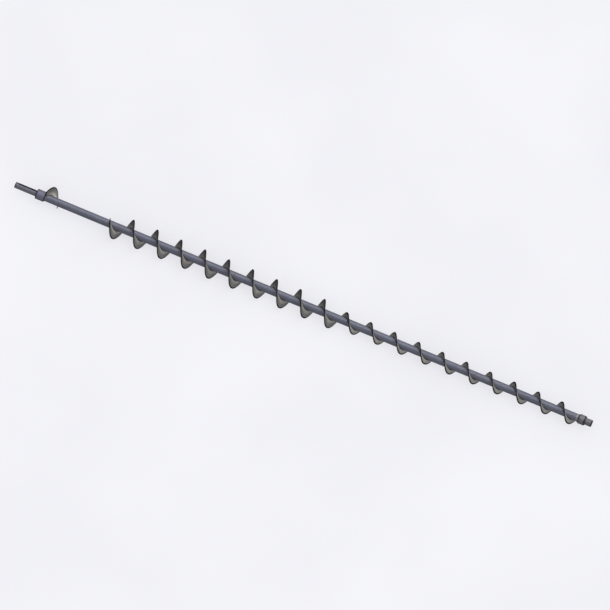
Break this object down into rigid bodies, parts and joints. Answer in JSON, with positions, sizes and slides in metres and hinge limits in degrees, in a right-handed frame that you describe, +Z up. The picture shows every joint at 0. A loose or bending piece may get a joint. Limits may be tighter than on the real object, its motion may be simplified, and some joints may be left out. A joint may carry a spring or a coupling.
{
  "type": "soil auger",
  "caption": "Long horizontal screw auger with a keyed drive shaft, a short reverse-hand flight, and a right-hand flight that steps down in diameter towards a plain stub shaft.",
  "frame": {"origin": "centre of the drive shaft's end face, on the auger's axis", "axes": "+X along the axis from the drive shaft to the stub shaft; +Z up with the auger lying on its side, resting on the rim of the large flight"},
  "size_m": [2.4145, 0.1, 0.1001],
  "materials": {
    "tube_steel": "drawn mill tube, satin, slightly blue",
    "shank_steel": "turned, fine circumferential tool marks",
    "drive_collar_steel": "turned, satin, slightly violet",
    "flight_steel": "pressed plate with a thin mill scale, dull, darker at the rim and along the weld",
    "end_steel": "turned, bright satin, neutral grey"
  },
  "bodies": {
    "root": {"core_tube": "tube_steel", "drive_shaft": "shank_steel", "drive_collar": "drive_collar_steel", "end_collar": "end_steel", "end_shaft": "end_steel", "reverse_flight": "flight_steel", "large_flight_01": "flight_steel", "large_flight_02": "flight_steel", "large_flight_03": "flight_steel", "large_flight_04": "flight_steel", "large_flight_05": "flight_steel", "large_flight_06": "flight_steel", "large_flight_07": "flight_steel", "large_flight_08": "flight_steel", "large_flight_09": "flight_steel", "large_flight_10": "flight_steel", "small_flight_01": "flight_steel", "small_flight_02": "flight_steel", "small_flight_03": "flight_steel", "small_flight_04": "flight_steel", "small_flight_05": "flight_steel", "small_flight_06": "flight_steel", "small_flight_07": "flight_steel", "small_flight_08": "flight_steel", "small_flight_09": "flight_steel", "small_flight_10": "flight_steel"}
  },
  "joints": []
}
